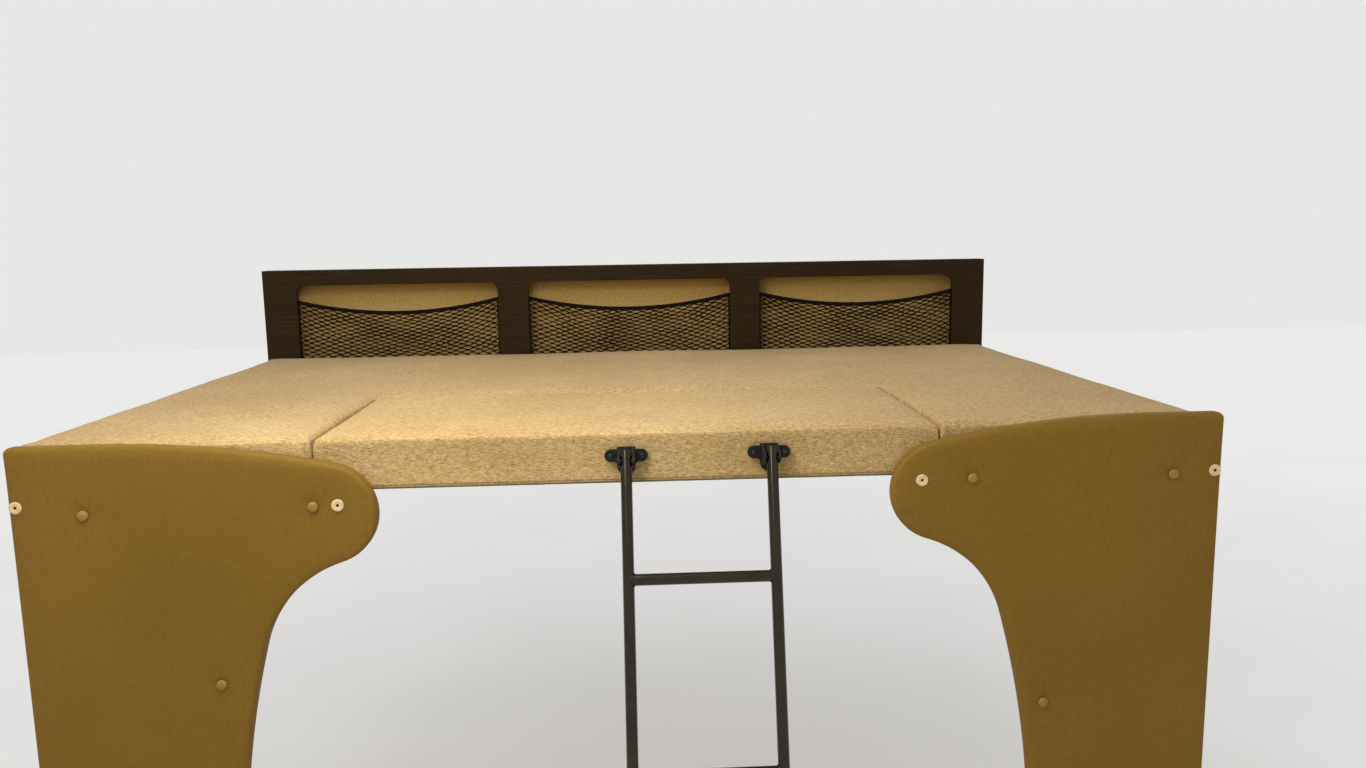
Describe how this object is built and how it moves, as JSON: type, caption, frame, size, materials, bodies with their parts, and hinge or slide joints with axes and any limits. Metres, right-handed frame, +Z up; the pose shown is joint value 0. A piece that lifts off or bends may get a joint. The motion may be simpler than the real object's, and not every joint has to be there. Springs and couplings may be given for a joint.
{
  "type": "motorhome over-cab bunk",
  "caption": "Over-cab bunk for a motorhome: tweed mattress on a timber deck, net pocket board, padded S-edged side wings, lift-out centre panel and swing ladder.",
  "frame": {"origin": "on the underside of the lining, at the middle of the deck section over the nose, where the bunk sits on the cab-over floor", "axes": "+X to the vehicle's right, across the bunk; +Y to the vehicle's nose; +Z up"},
  "size_m": [2.36, 1.8753, 1.649],
  "materials": {
    "ply": "birch plywood, oiled edge",
    "timber": "planed softwood",
    "lining": "beige foam-backed headliner cloth on thin board",
    "tweed": "tan tweed upholstery cloth",
    "wing_vinyl": "olive-brown padded vinyl, fine woven grain",
    "dark_board": "espresso laminate, satin",
    "net": "dark elastic mesh",
    "wall_cloth": "beige wall cloth",
    "ladder_metal": "gloss dark bronze powder coat",
    "black_plastic": "moulded, fine texture",
    "rubber": "matt",
    "pin_steel": "black zinc plated",
    "snap_cream": "cream moulded"
  },
  "bodies": {
    "bunk": {"bearer_cross": "timber", "bearer_front_left": "timber", "bearer_front_right": "timber", "bearer_ledge_left": "timber", "bearer_ledge_right": "timber", "bearer_middle_left": "timber", "bearer_middle_right": "timber", "bearer_nose": "timber", "bearer_side_left": "timber", "bearer_side_right": "timber", "deck_left": "ply", "deck_nose": "ply", "deck_right": "ply", "lining_left": "lining", "lining_nose": "lining", "lining_right": "lining", "mattress": "tweed", "net_centre": "net", "net_left": "net", "net_right": "net", "pocket_back": "wall_cloth", "pocket_board": "dark_board", "pocket_frame": "dark_board", "wing_batten_left": "timber", "wing_batten_right": "timber", "wing_buttons_left": "wing_vinyl", "wing_buttons_right": "wing_vinyl", "wing_core_left": "ply", "wing_core_right": "ply", "wing_cover_left": "wing_vinyl", "wing_cover_right": "wing_vinyl", "wing_snaps_left": "snap_cream", "wing_snaps_right": "snap_cream"},
    "centre_panel": {"panel_board": "ply", "panel_rail": "timber", "panel_cushion": "tweed", "bracket_left": "black_plastic", "bracket_right": "black_plastic"},
    "ladder": {"ladder_rail_left": "ladder_metal", "ladder_rail_right": "ladder_metal", "ladder_rung_1": "ladder_metal", "ladder_rung_2": "ladder_metal", "ladder_rung_3": "ladder_metal", "ladder_caps": "black_plastic", "ladder_feet": "rubber", "ladder_pins": "pin_steel"}
  },
  "joints": [
    {"name": "centre_panel_lift", "type": "slide", "parent": "bunk", "child": "centre_panel", "axis": [0, 0, 1], "range_m": [0, 0.3]},
    {"name": "ladder_swing", "type": "hinge", "parent": "centre_panel", "child": "ladder", "pos_m": [0.132, -1.03821, 0.08682], "axis": [-1, 0, 0], "range_deg": [0, 75]}
  ]
}
